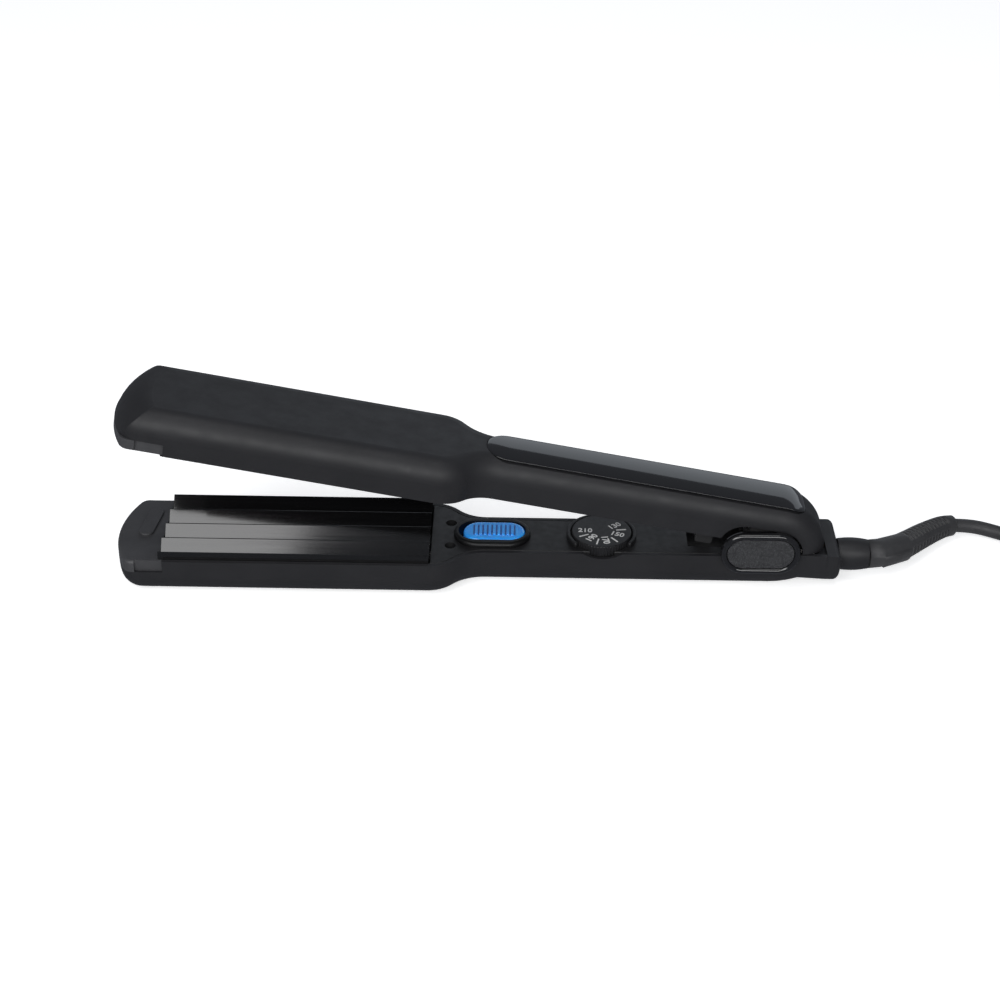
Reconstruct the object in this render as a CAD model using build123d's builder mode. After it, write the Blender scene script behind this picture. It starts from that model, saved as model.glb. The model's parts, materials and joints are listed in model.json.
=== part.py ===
"""Corded hair crimper: two hinged arms with zigzag plates, a swivel cord and its plug.

Frame: X runs along the iron, with the tips at -X and the cord at +X. Y runs across it, and Z is up.
The origin is on the resting surface, straight below the hinge pin. Lengths are in millimetres.
The upper arm is modelled closed, parallel to the lower one, and swung open as it is saved.
"""
from math import asin, atan2, cos, degrees, pi, radians, sin, tan
import os

from build123d import *

os.makedirs("parts", exist_ok=True)

# ---- driving dimensions ---------------------------------------------------------------------
HINGE_Z = 17.0                # height of the hinge pin
OPEN_ANGLE = 10.35            # how far the upper arm stands open at rest
HINGE_LINE = Axis((0, 0, HINGE_Z), (0, 1, 0))

LOWER_FACE = 14.4             # inner face of the lower arm
UPPER_FACE = 19.7             # inner face of the upper arm, closed
UPPER_TOP = 35.0              # top of the upper arm, closed

HEEL_X, HEEL_Z = 6.0, 16.0    # centre of the upper arm's round heel

TIP_X = -240.8
UPPER_TIP = -242.2            # the upper arm reaches a little further
TIP_RADIUS = 46.0             # the nose's large arc
DOME = 13.0                   # rounding of the upper nose's top edge
TIP_CORNER = 8.5              # where the nose meets the sides
HEAD_HALF = 22.05
HANDLE_HALF = 12.35
REAR_HALF = 13.2              # the lower arm flares a little towards the cord
NECK_FRONT, NECK_REAR = -123.5, -102.0
SHELL_REAR = 25.2
BLOCK_REAR = 30.6
FLARE_X = 13.0                # where the flare starts
UPPER_REAR = 25.0

WALL = 1.6
COVER = 2.0                   # thickness of the inner covers
SEAM = 0.15                   # gap round a cover or a plate
LOWER_EDGE, UPPER_EDGE = 7.5, 8.0     # outer edge radii of the two arms

PLATE_FRONT, PLATE_REAR = -223.0, -123.0
WAVE_PITCH = 10.0
WAVES = 4
VALLEY, PEAK = 12.4, 17.6     # heights of the lower plate's zigzag
UPPER_LIFT = 2.9              # the upper zigzag lies this much higher, inside its arm's edge
PLATE_WALL = 1.6
PLATE_HALF = WAVE_PITCH * WAVES / 2 + 0.3

CAP_REAR = -221.5
CAP_NOTCH = -231.8
CAP_SKIRT = 4.7
CAP_LIP = 1.6

DIAL_X, DIAL_Y = -58.5, 0.2
DIAL_RADIUS = 11.3
DIAL_LOW, DIAL_HIGH = 12.6, 16.7
SCOOP_RADIUS = 13.0           # shallow scoop in the rim, where the dial shows at the side

BUTTON_X = -98.95
BUTTON_LONG, BUTTON_WIDE = 23.2, 12.4
BUTTON_TOP = 17.0
BUTTON_TRAVEL = 1.6           # the slide switch moves this far towards the tip
BEZEL_X, BEZEL_LONG, BEZEL_WIDE = -99.75, 27.4, 19.0

SCREW_X, SCREW_Y = -115.4, 7.8
PIN_RADIUS = 2.5

EAR_LONG, EAR_HIGH = 25.0, 13.2       # the lower arm's oval hinge ears
EAR_IN = 9.0                  # inner face of an ear, from the centre plane
BARREL_IN, BARREL_OUT, BARREL_RADIUS = 4.3, 8.6, 6.5
BUSH_RADIUS = 3.5
COIL_RADIUS, COIL_PITCH, WIRE_RADIUS = 4.6, 1.15, 0.6    # the spring's close turns, drawn as rings
HEAD_RADIUS, HEAD_DEPTH = 4.2, 1.5
BADGE_LONG, BADGE_HIGH = 29.6, 17.2
REAR_RIM = 15.4               # the lower arm's rim behind the hinge
KNUCKLE_FRONT = -24.0
POCKET_FRONT, POCKET_HALF = -26.3, 5.9
COVER_REAR = -8.5

WELL_LOW, WELL_FLOOR = 9.4, 0.9       # screw wells under the covers
BEZEL_THROAT, BEZEL_RISE = 13.0, 2.0
SHUTTER_LOW = 10.4
RIBS, RIB_PITCH = 9, 1.7
GUARD_RISE = 1.9
KNURLS = 60
PLATE_SKIRT = 4.0
RIDGE_RADIUS = 0.35
TRAY_HALF = 20.2

BOARD_FRONT, BOARD_REAR = -110.5, -34.0
BOARD_LOW, BOARD_HIGH = 4.4, 6.0
BOARD_POSTS = (-106.0, -40.0)
SWITCH_TOP = 9.6
POT_TOP = 10.2

LEAD_Y = 3.0
LOWER_LEADS = [(-134, LEAD_Y, 7.4), (-121, LEAD_Y, 7.4), (-114, LEAD_Y, 6.9), (-109.5, LEAD_Y, 6.9)]
UPPER_LEADS = [(-134, LEAD_Y, 25.7), (-121, LEAD_Y, 25.7), (-112, LEAD_Y, 29.5), (-27, LEAD_Y, 29.5)]
MAINS_LEADS = [(22.5, 1.6, 8.4), (18, 1.6, 8.0), (9, 2.4, 5.2), (-33.9, 2.4, 5.2)]

INLAY_HALF, INLAY_DEPTH = 8.8, 0.65
INLAY_FRONT, INLAY_REAR = -107.0, 14.0

SWIVEL_Z = 8.4
JOURNAL_RADIUS = 4.5
SLEEVE_START, SLEEVE_END = 30.9, 42.5
FLANGE_FRONT, FLANGE_REAR, FLANGE_RADIUS = 26.8, 28.4, 5.9
CORD_RADIUS = 2.7
BOOT_ROUTE = [(42.5, 0, 8.4), (49.3, 1.7, 8.3), (54.6, 5.0, 7.8), (59.8, 9.8, 7.2),
              (65.4, 15.4, 6.6), (71.1, 20.7, 6.0), (76.0, 24.4, 5.6), (80.4, 26.2, 5.2)]
BOOT_RADII = [5.45, 5.4, 5.3, 5.1, 4.9, 4.6, 4.3, 4.0]
HANK_NEAR, HANK_FAR, HANK_Y = 136.3, 233.7, -6.0     # centres of the hank's two end loops
HANK_LOOP, HANK_WAIST = 25.65, 11.2                  # half widths at the loops and at the tie
HANK_LOW, HANK_HIGH = 0.2, 22.0
TIE_HALF = 6.0
TIE_LOW, TIE_HIGH = 0.1, 24.2
CORD_ROUTE = [(80.4, 26.2, 5.2), (87.0, 27.2, 4.6), (95.0, 25.4, 3.7), (107.0, 19.6, 2.9),
              (122.0, 17.6, 2.9), (137.0, 16.95, 2.9)]
TAIL_ROUTE = [(134.0, 16.95, 19.2), (144.0, 15.2, 20.2), (154.0, 10.5, 23.6), (163.0, 3.0, 26.8),
              (172.0, -4.2, 28.6), (181.0, -6.0, 28.95)]
PLUG_Z = 28.95
PLUG_BACK, PLUG_FACE = 197.0, 232.0
PIN_PITCH, PIN_LONG, PLUG_PIN_RADIUS = 18.6, 19.0, 2.0

# ---- shapes shared by the two arms ----------------------------------------------------------
NECK_TURN = 2 * degrees(atan2(HEAD_HALF - HANDLE_HALF, NECK_REAR - NECK_FRONT))
NECK_RADIUS = (NECK_REAR - NECK_FRONT) / (2 * sin(radians(NECK_TURN)))
TIP_TURN = degrees(asin(HEAD_HALF / TIP_RADIUS))


def arm_plan(rear_x, rear_half=HANDLE_HALF, inset=0.0, corner=TIP_CORNER, rear_corner=0.0, tip=TIP_X):
    """The arm from above: round nose, wide head, S-shaped neck and narrow handle."""
    with BuildSketch(mode=Mode.PRIVATE) as plan:
        with BuildLine():
            nose = CenterArc((tip + TIP_RADIUS, 0), TIP_RADIUS, 180, -TIP_TURN)
            side = Line(nose @ 1, (NECK_FRONT, HEAD_HALF))
            neck = JernArc(side @ 1, (1, 0), NECK_RADIUS, -NECK_TURN)
            hollow = JernArc(neck @ 1, neck % 1, NECK_RADIUS, NECK_TURN)
            grip = Line(hollow @ 1, (FLARE_X, HANDLE_HALF))
            flare = Line(grip @ 1, (min(rear_x, SHELL_REAR), rear_half))
            if rear_x > SHELL_REAR:
                flare = Line(flare @ 1, (rear_x, rear_half))
            Line(flare @ 1, (rear_x, 0))
            mirror(about=Plane.XZ)
        make_face()
        nose_corners = plan.vertices().filter_by_position(Axis.X, tip + 2, NECK_FRONT - 10)
        fillet(nose_corners, corner)
        if rear_corner:
            fillet(plan.vertices().sort_by(Axis.X)[-2:], rear_corner)
        if inset:
            offset(amount=-inset, kind=Kind.INTERSECTION)
    return plan.sketch


def lower_slug(inset=0.0, rear_x=SHELL_REAR, top=LOWER_FACE):
    """The lower arm as one block, grown smaller on every outer side by inset."""
    with BuildPart(mode=Mode.PRIVATE) as slug:
        with BuildSketch(Plane.XY.offset(inset)):
            add(arm_plan(rear_x, REAR_HALF, inset))
        extrude(amount=top - inset)
        with BuildSketch(Plane.XZ):
            with BuildLine():
                belly = ThreePointArc((4, inset), (10.2, inset + 0.55), (15.8, inset + 2.1))
                tail = Line(belly @ 1, (60, inset + 1.6))
                Polyline(tail @ 1, (60, -5), (4, -5), belly @ 0)
            make_face()
        extrude(amount=40, both=True, mode=Mode.SUBTRACT)
        rim = slug.edges().filter_by_position(Axis.Z, inset - 0.1, inset + 2.3)
        outer = rim.filter_by(lambda edge: abs(edge.center().Y) > 1 or edge.center().X < -200)
        fillet(outer, LOWER_EDGE - inset)
    return slug.part


def nose_dome(inset):
    """Space behind the upper arm's domed nose, smaller on every outer side by inset."""
    centre = UPPER_TIP + TIP_RADIUS
    reach, high, brow = TIP_RADIUS - inset + 0.02, UPPER_TOP - inset + 0.02, DOME - inset
    with BuildPart(mode=Mode.PRIVATE) as dome:
        with BuildSketch(Plane.XZ):
            with BuildLine():
                wall = Line((centre + reach, -5), (centre + reach, high - brow))
                arch = CenterArc((centre + reach - brow, high - brow), brow, 0, 90)
                Polyline(arch @ 1, (centre, high), (centre, -5), wall @ 0)
            make_face()
        revolve(axis=Axis((centre, 0, 0), (0, 0, 1)))
        box_between((UPPER_TIP + 21.5, -40, -5), (60, 40, high + 5))
    return dome.part


def upper_slug(inset=0.0):
    """The closed upper arm as one block down to the floor, smaller on every outer side by inset."""
    with BuildPart(mode=Mode.PRIVATE) as slug:
        with BuildSketch():
            add(arm_plan(UPPER_REAR, inset=inset, rear_corner=UPPER_EDGE + 0.6, tip=UPPER_TIP))
        extrude(amount=UPPER_TOP - inset)
        with BuildSketch(Plane.XZ):
            with BuildLine():
                top = Line((TIP_X - 10, UPPER_TOP - inset), (HEEL_X, UPPER_TOP - inset))
                heel = CenterArc((HEEL_X, HEEL_Z), UPPER_TOP - HEEL_Z - inset, 90, -90)
                Polyline(heel @ 1, (heel @ 1 - (0, 40)), (TIP_X - 10, HEEL_Z - 40), top @ 0)
            make_face()
        extrude(amount=40, both=True, mode=Mode.INTERSECT)
        crest = slug.edges().filter_by(lambda edge: edge.center().Z > HEEL_Z + 6)
        across = crest.filter_by(Axis.Y)
        upright = crest.filter_by(Axis.Z)
        fillet([edge for edge in crest if edge not in across and edge not in upright], UPPER_EDGE - inset)
        add(nose_dome(inset), mode=Mode.INTERSECT)
    return slug.part


def box_between(low, high, mode=Mode.ADD):
    """A box between two opposite corners."""
    size = Vector(high) - Vector(low)
    with Locations((Vector(low) + Vector(high)) / 2):
        Box(size.X, size.Y, size.Z, mode=mode)


def rod_along_x(start, end, y, z, radius, mode=Mode.ADD):
    """A round bar or bore along X."""
    with Locations(Location(((start + end) / 2, y, z), (0, 90, 0))):
        Cylinder(radius, end - start, mode=mode)


def rod_along_y(start, end, x, z, radius, mode=Mode.ADD):
    """A round bar or bore along Y."""
    with Locations(Location((x, (start + end) / 2, z), (90, 0, 0))):
        Cylinder(radius, end - start, mode=mode)


def rod_along_z(low, high, x, y, radius, mode=Mode.ADD):
    """A round bar or bore along Z."""
    with Locations((x, y, (low + high) / 2)):
        Cylinder(radius, high - low, mode=mode)


def save(piece, label, swing=0.0):
    """Swing a finished piece about the hinge, label it and write it."""
    piece = piece.rotate(HINGE_LINE, swing) if swing else piece
    piece.label = label
    export_step(piece, f"parts/{label}.step")
    bad = "" if piece.is_valid else "  NOT VALID"
    print(f"{label:24s}{len(piece.solids()):3d} solids {piece.volume:10.1f} mm3{bad}")


# ---- lower arm: casing ----------------------------------------------------------------------
def lower_outer_shell():
    """Hollow casing with the hinge ears, screw pillars and board posts moulded in."""
    with BuildPart() as shell:
        add(lower_slug(top=REAR_RIM))
        add(lower_slug(WALL, SHELL_REAR + 4, REAR_RIM + 1), mode=Mode.SUBTRACT)
        box_between((TIP_X - 5, -30, LOWER_FACE), (EAR_LONG / 2, 30, REAR_RIM + 1), Mode.SUBTRACT)
        box_between((TIP_X - 5, -30, LOWER_FACE - CAP_SKIRT), (CAP_REAR, 30, 20), Mode.SUBTRACT)
        rod_along_z(DIAL_LOW - 0.4, 20, DIAL_X, DIAL_Y, DIAL_RADIUS + 0.4, Mode.SUBTRACT)
        rod_along_y(-14, -9, DIAL_X, DIAL_LOW - 0.4 + SCOOP_RADIUS, SCOOP_RADIUS, Mode.SUBTRACT)
        for side in (-1, 1):
            with BuildSketch(Plane.XZ.offset(-side * EAR_IN)):
                with Locations((0, HINGE_Z)):
                    SlotOverall(EAR_LONG, EAR_HIGH)
            extrude(amount=-side * (HANDLE_HALF - EAR_IN))
            rod_along_z(WALL / 2, WELL_LOW - 0.1, SCREW_X, side * SCREW_Y, 3.0)
            rod_along_z(WELL_LOW - 7, WELL_LOW, SCREW_X, side * SCREW_Y, 0.95, Mode.SUBTRACT)
            for post_x in BOARD_POSTS:
                rod_along_z(WALL / 2, BOARD_LOW - 0.05, post_x, side * 6.5, 1.8)
            head = sorted((side * (HANDLE_HALF - HEAD_DEPTH), side * (HANDLE_HALF + 2)))
            rod_along_y(*head, 0, HINGE_Z, HEAD_RADIUS + 0.1, Mode.SUBTRACT)
        rod_along_y(-20, 20, 0, HINGE_Z, PIN_RADIUS + 0.02, Mode.SUBTRACT)
    save(shell.part, "lower_outer_shell")


def inner_cover(face, outward, name, swing):
    """Inset lid of the handle, with two screw wells; outward is the side its back faces."""
    back = face + outward * COVER
    well = face + outward * (LOWER_FACE - WELL_LOW)
    with BuildPart() as cover:
        with BuildSketch(Plane.XY.offset(min(face, back))):
            add(arm_plan(SHELL_REAR, inset=WALL + SEAM))
            with Locations(((PLATE_REAR + 0.4 + COVER_REAR) / 2, 0)):
                Rectangle(COVER_REAR - PLATE_REAR - 0.4, 60, mode=Mode.INTERSECT)
        extrude(amount=COVER)
        lip = cover.edges().group_by(Axis.Z)[-1 if outward < 0 else 0]
        fillet(lip, 0.35)
        for side in (-1, 1):
            rod_along_z(*sorted((face + outward, well)), SCREW_X, side * SCREW_Y, 3.0)
            floor = well - outward * WELL_FLOOR
            mouth = sorted((floor, face - outward * 3))
            rod_along_z(*mouth, SCREW_X, side * SCREW_Y, 2.1, Mode.SUBTRACT)
            shank = sorted((well + outward, face))
            rod_along_z(*shank, SCREW_X, side * SCREW_Y, 1.15, Mode.SUBTRACT)
        if outward < 0:
            with BuildSketch(Plane.XY.offset(face - 10)):
                with Locations((BEZEL_X, 0)):
                    SlotOverall(BEZEL_LONG - 0.8, BEZEL_THROAT + 1.3)
                with Locations(((POCKET_FRONT + COVER_REAR) / 2 + 5, 0)):
                    Rectangle(COVER_REAR - POCKET_FRONT + 10, 2 * POCKET_HALF)
            extrude(amount=20, mode=Mode.SUBTRACT)
            box_between((DIAL_X - 13.5, -10.4, DIAL_LOW - 1.6), (DIAL_X + 13.5, 10.4, back + 0.3))
            rod_along_z(DIAL_LOW - 0.4, face + 5, DIAL_X, DIAL_Y, DIAL_RADIUS + 0.4, Mode.SUBTRACT)
            rod_along_z(back - 5, face + 5, DIAL_X, DIAL_Y, 5.0, Mode.SUBTRACT)
            box_between((-EAR_LONG / 2 - 0.5, EAR_IN - 0.3, face - 5), (5, 20, face + 5), Mode.SUBTRACT)
            box_between((-EAR_LONG / 2 - 0.5, -20, face - 5), (5, 0.3 - EAR_IN, face + 5), Mode.SUBTRACT)
        else:
            box_between((KNUCKLE_FRONT - 0.3, -9.0, face - 5), (5, 9.0, face + 5), Mode.SUBTRACT)
            box_between((-16.5, -20, face - 5), (5, 20, face + 5), Mode.SUBTRACT)
    save(cover.part, name, swing)


def tip_cap(face, outward, tip, name, swing):
    """Nose cap closing the head in front of the plate, with a clip notch in each side."""
    low, high = sorted((face, face + outward * CAP_SKIRT))
    with BuildPart() as cap:
        with BuildSketch(Plane.XY.offset(low)):
            add(arm_plan(SHELL_REAR, corner=4.0, tip=tip))
            with Locations((TIP_X, 0)):
                Rectangle(2 * (CAP_REAR - 0.05 - TIP_X), 60, mode=Mode.INTERSECT)
        extrude(amount=CAP_SKIRT)
        with BuildSketch(Plane.XY.offset(low - 1)):
            add(arm_plan(SHELL_REAR, inset=2.4, tip=tip))
            with Locations((TIP_X, 0)):
                Rectangle(2 * (CAP_REAR - 1.6 - TIP_X), 60, mode=Mode.INTERSECT)
        extrude(amount=CAP_SKIRT + 2, mode=Mode.SUBTRACT)
        with BuildSketch(Plane.XY.offset(face if outward > 0 else face - 1.8)):
            add(arm_plan(SHELL_REAR, corner=4.0, tip=tip))
            with Locations((TIP_X, 0)):
                Rectangle(2 * (PLATE_FRONT - 0.2 - TIP_X), 60, mode=Mode.INTERSECT)
        extrude(amount=1.8)
        with BuildSketch(Plane.XY.offset(low - 1)):
            with Locations(((PLATE_FRONT - 0.2 + CAP_REAR + 1) / 2, 0)):
                Rectangle(CAP_REAR + 1 - PLATE_FRONT + 0.2, 2 * PLATE_HALF + 2 * SEAM)
        extrude(amount=CAP_SKIRT + 2, mode=Mode.SUBTRACT)
        for side in (-1, 1):
            near, far = sorted((side * (HEAD_HALF - 1.0), side * 30))
            box_between((CAP_NOTCH, near, low - 1), (0, far, high + 1), Mode.SUBTRACT)
        lip = cap.edges().group_by(Axis.Z)[-1 if outward < 0 else 0]
        rounded = lip.filter_by(lambda edge: edge.center().X < CAP_NOTCH - 0.5)
        fillet(rounded, CAP_LIP)
    save(cap.part, name, swing)


def tip_pad(face, outward, name, swing):
    """Low oval pad on the nose cap."""
    low = face if outward < 0 else face - 1.0
    with BuildPart() as pad:
        with BuildSketch(Plane.XY.offset(low)):
            with Locations(Location((-229.4, 4.5, 0), (0, 0, 83))):
                SlotOverall(19, 5.6)
        extrude(amount=1.0)
        fillet(pad.edges().group_by(Axis.Z)[-1 if outward < 0 else 0], 0.45)
    save(pad.part, name, swing)


def switch_bezel():
    """Raised oval surround of the slide switch, with a throat through the cover."""
    with BuildPart() as bezel:
        with BuildSketch(Plane.XY.offset(LOWER_FACE)):
            with Locations((BEZEL_X, 0)):
                SlotOverall(BEZEL_LONG + 1.6, BEZEL_WIDE)
        extrude(amount=BEZEL_RISE)
        fillet(bezel.edges().group_by(Axis.Z)[-1], 1.3)
        with BuildSketch(Plane.XY.offset(LOWER_FACE - COVER - 0.6)):
            with Locations((BEZEL_X, 0)):
                SlotOverall(BEZEL_LONG - 1.0, BEZEL_THROAT + 1.1)
        extrude(amount=COVER + 0.7)
        with BuildSketch(Plane.XY.offset(LOWER_FACE - 5)):
            with Locations((BEZEL_X, 0)):
                SlotOverall(BUTTON_LONG + BUTTON_TRAVEL + 0.7, BEZEL_THROAT)
        extrude(amount=12, mode=Mode.SUBTRACT)
        for side in (-1, 1):
            rod_along_z(LOWER_FACE - 1, 20, SCREW_X, side * SCREW_Y, 2.4, Mode.SUBTRACT)
    save(bezel.part, "switch_bezel")


def dial_guard():
    """Raised C-shaped rim round the dial, open towards the thumb."""
    middle = DIAL_RADIUS + 1.15
    with BuildPart() as guard:
        with BuildSketch(Plane.XZ.offset(-DIAL_Y)) as section:
            with Locations((DIAL_X + middle, LOWER_FACE + GUARD_RISE / 2)):
                Rectangle(1.5, GUARD_RISE)
            fillet(section.vertices().group_by(Axis.Z)[-1], 0.5)
        revolve(axis=Axis((DIAL_X, DIAL_Y, 0), (0, 0, 1)))
        with BuildSketch(Plane.XY.offset(LOWER_FACE - 1)):
            with BuildLine():
                mouth = [(DIAL_X, DIAL_Y), (DIAL_X - 20, -17), (DIAL_X, -30), (DIAL_X + 20, -15)]
                Polyline(*mouth, close=True)
            make_face()
        extrude(amount=10, mode=Mode.SUBTRACT)
        feet = guard.edges().filter_by(Axis.Z).filter_by(lambda edge: edge.center().Y < -5)
        fillet(feet, 0.6)
        box_between((DIAL_X - 30, 0.1 - HANDLE_HALF, 0), (DIAL_X + 30, HANDLE_HALF - 0.1, 30),
                    Mode.INTERSECT)
    save(guard.part, "dial_guard")


# ---- plates and heaters of either arm ---------------------------------------------------------
def zigzag_plate(lift, outward, name, swing):
    """Extruded aluminium channel whose face is a row of triangular waves along X."""
    rows = [(row * WAVE_PITCH / 2, (PEAK, VALLEY)[row % 2] + lift) for row in range(-WAVES, WAVES + 1)]
    skirt = (LOWER_FACE if outward < 0 else UPPER_FACE) + outward * PLATE_SKIRT
    back = (VALLEY if outward < 0 else PEAK) + lift + outward * PLATE_WALL
    foot = PLATE_HALF - 1.2
    outline = [(-PLATE_HALF, rows[0][1]), *rows, (PLATE_HALF, rows[-1][1]), (PLATE_HALF, skirt)]
    outline += [(foot, skirt), (foot, back), (-foot, back), (-foot, skirt), (-PLATE_HALF, skirt)]
    with BuildPart() as plate:
        with BuildSketch(Plane.YZ.offset(PLATE_FRONT)):
            with BuildLine():
                Polyline(*outline, close=True)
            make_face()
        extrude(amount=PLATE_REAR - PLATE_FRONT)
        ridges = plate.edges().filter_by(Axis.X).filter_by(lambda edge: abs(edge.center().Y) < foot - 2)
        fillet(ridges.filter_by(lambda edge: abs(edge.center().Z - back) > 0.1), RIDGE_RADIUS)
    save(plate.part, name, swing)


def plate_carrier(face, outward, name, swing):
    """Heat-proof tray under the plate, notched at the rear for the leads."""
    top = face + outward * (PLATE_SKIRT + 0.1)
    floor = face + outward * (PLATE_SKIRT + 5.4)
    with BuildPart() as carrier:
        box_between((PLATE_FRONT + 1, -TRAY_HALF, min(top, floor)),
                    (PLATE_REAR - 1, TRAY_HALF, max(top, floor)))
        fillet(carrier.edges().filter_by(Axis.X).group_by(Axis.Z)[0 if outward < 0 else -1], 3.0)
        inner = sorted((top - outward, floor - outward * 1.2))
        box_between((PLATE_FRONT + 2.6, 1.6 - TRAY_HALF, inner[0]),
                    (PLATE_REAR - 2.6, TRAY_HALF - 1.6, inner[1]), Mode.SUBTRACT)
        for side in (-1, 1):
            box_between((PLATE_REAR - 4, side * LEAD_Y - 1.3, inner[0]),
                        (PLATE_REAR, side * LEAD_Y + 1.3, inner[1]), Mode.SUBTRACT)
    save(carrier.part, name, swing)


def heater_stack(face, outward, back, arm, swing):
    """Ceramic heater under the plate's back, its mica sheet and the bowed spring behind them."""
    def level(depth):
        return face + outward * depth

    low, high = sorted((level(back + 0.1), level(back + 1.5)))
    with BuildPart() as heater:
        box_between((-214, -12, low), (-132, 12, high))
        fillet(heater.edges().filter_by(Axis.Z), 1.5)
    save(heater.part, f"{arm}_heater", swing)

    low, high = sorted((level(back + 1.7), level(back + 2.3)))
    with BuildPart() as mica:
        box_between((-218, -13.5, low), (-128, 13.5, high))
        fillet(mica.edges().filter_by(Axis.Z), 2.0)
    save(mica.part, f"{arm}_mica_sheet", swing)

    with BuildPart() as leaf:
        with BuildSketch(Plane.XZ.offset(-7)):
            with BuildLine():
                bow = ThreePointArc((-205, level(7.8)), (-173, level(back + 2.7)), (-141, level(7.8)))
                offset(bow, amount=0.25, side=Side.BOTH)
            make_face()
        extrude(amount=14)
    save(leaf.part, f"{arm}_leaf_spring", swing)

    with BuildPart() as fuse:
        rod_along_x(-158, -147, -16, level(6.0), 1.6)
        rod_along_x(-162, -158, -16, level(6.0), 0.5)
        rod_along_x(-147, -143, -16, level(6.0), 0.5)
    save(fuse.part, f"{arm}_thermal_fuse", swing)

    route = LOWER_LEADS if outward < 0 else UPPER_LEADS
    with BuildPart() as leads:
        for side in (-1, 1):
            with BuildLine():
                path = FilletPolyline(*[(x, side * y, z) for x, y, z in route], radius=1.6)
            with BuildSketch(Plane(origin=path @ 0, z_dir=path % 0)):
                Circle(0.8)
            sweep(path=path)
    save(leads.part, f"{arm}_heater_leads", swing)


# ---- screws -----------------------------------------------------------------------------------
def cover_screws(face, outward, name, swing):
    """Two cross-head screws at the bottom of the cover's wells."""
    seat = face + outward * (LOWER_FACE - WELL_LOW - WELL_FLOOR - 0.05)
    with BuildPart() as screws:
        for side in (-1, 1):
            rod_along_z(*sorted((seat, seat - outward * 1.4)), SCREW_X, side * SCREW_Y, 1.9)
            rod_along_z(*sorted((seat, seat + outward * 6.5)), SCREW_X, side * SCREW_Y, 0.92)
            slot = sorted((seat - outward * 0.7, seat - outward * 2))
            box_between((SCREW_X - 1.2, side * SCREW_Y - 0.25, slot[0]),
                        (SCREW_X + 1.2, side * SCREW_Y + 0.25, slot[1]), Mode.SUBTRACT)
            box_between((SCREW_X - 0.25, side * SCREW_Y - 1.2, slot[0]),
                        (SCREW_X + 0.25, side * SCREW_Y + 1.2, slot[1]), Mode.SUBTRACT)
    save(screws.part, name, swing)


# ---- controls ---------------------------------------------------------------------------------
def power_button():
    """Translucent ribbed slide button with a shutter below the throat and a stem into the switch."""
    with BuildPart() as button:
        with BuildSketch(Plane.XY.offset(LOWER_FACE - COVER - 1.0)):
            with Locations((BUTTON_X, 0)):
                SlotOverall(BUTTON_LONG, BUTTON_WIDE)
        extrude(amount=BUTTON_TOP - 0.5 - LOWER_FACE + COVER + 1.0)
        fillet(button.edges().group_by(Axis.Z)[-1], 1.2)
        for rib in range(-RIBS // 2 + 1, RIBS // 2 + 1):
            rib_x = BUTTON_X + rib * RIB_PITCH
            box_between((rib_x - 0.5, -3.4, BUTTON_TOP - 1), (rib_x + 0.5, 3.4, BUTTON_TOP))
        with BuildSketch(Plane.XY.offset(SHUTTER_LOW)):
            with Locations((BUTTON_X, 0)):
                SlotOverall(BUTTON_LONG + 2.6, BUTTON_WIDE + 1.4)
        extrude(amount=0.8)
        box_between((BUTTON_X - 3, -4, SHUTTER_LOW), (BUTTON_X + 3, 4, LOWER_FACE - COVER))
        box_between((BUTTON_X - 2, -2, SWITCH_TOP - 2.4), (BUTTON_X + 2, 2, SHUTTER_LOW + 0.4))
    save(button.part, "power_button")


def power_switch():
    """Slide switch on the circuit board, slotted for the button's stem."""
    with BuildPart() as switch:
        box_between((BUTTON_X - 10, -4.5, BOARD_HIGH), (BUTTON_X + 9, 4.5, SWITCH_TOP))
        fillet(switch.edges().filter_by(Axis.Z), 0.6)
        box_between((BUTTON_X - 2.3 - BUTTON_TRAVEL, -2.3, SWITCH_TOP - 2.8),
                    (BUTTON_X + 2.3, 2.3, SWITCH_TOP + 1), Mode.SUBTRACT)
    save(switch.part, "power_switch")


def temperature_dial():
    """Knurled thumb wheel with its spindle."""
    with BuildPart() as dial:
        rod_along_z(DIAL_LOW, DIAL_HIGH, DIAL_X, DIAL_Y, DIAL_RADIUS)
        fillet(dial.edges().group_by(Axis.Z)[-1], 0.5)
        with Locations((DIAL_X, DIAL_Y, (DIAL_LOW + DIAL_HIGH) / 2)):
            with PolarLocations(DIAL_RADIUS + 0.2, KNURLS):
                Cylinder(0.5, 2 * (DIAL_HIGH - DIAL_LOW), mode=Mode.SUBTRACT)
        rod_along_z(POT_TOP + 0.6, DIAL_LOW + 1, DIAL_X, DIAL_Y, 4.6)
        rod_along_z(POT_TOP - 3, DIAL_LOW + 1, DIAL_X, DIAL_Y, 2.97)
    save(dial.part, "temperature_dial")


def potentiometer():
    """Rotary potentiometer under the dial; its bore carries the dial's spindle."""
    with BuildPart() as pot:
        rod_along_z(BOARD_HIGH, POT_TOP, DIAL_X, DIAL_Y, 6.5)
        box_between((DIAL_X + 4, DIAL_Y - 4, BOARD_HIGH), (DIAL_X + 9, DIAL_Y + 4, BOARD_HIGH + 2.4))
        rod_along_z(POT_TOP - 3.4, POT_TOP + 1, DIAL_X, DIAL_Y, 3.03, Mode.SUBTRACT)
    save(pot.part, "potentiometer")


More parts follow.
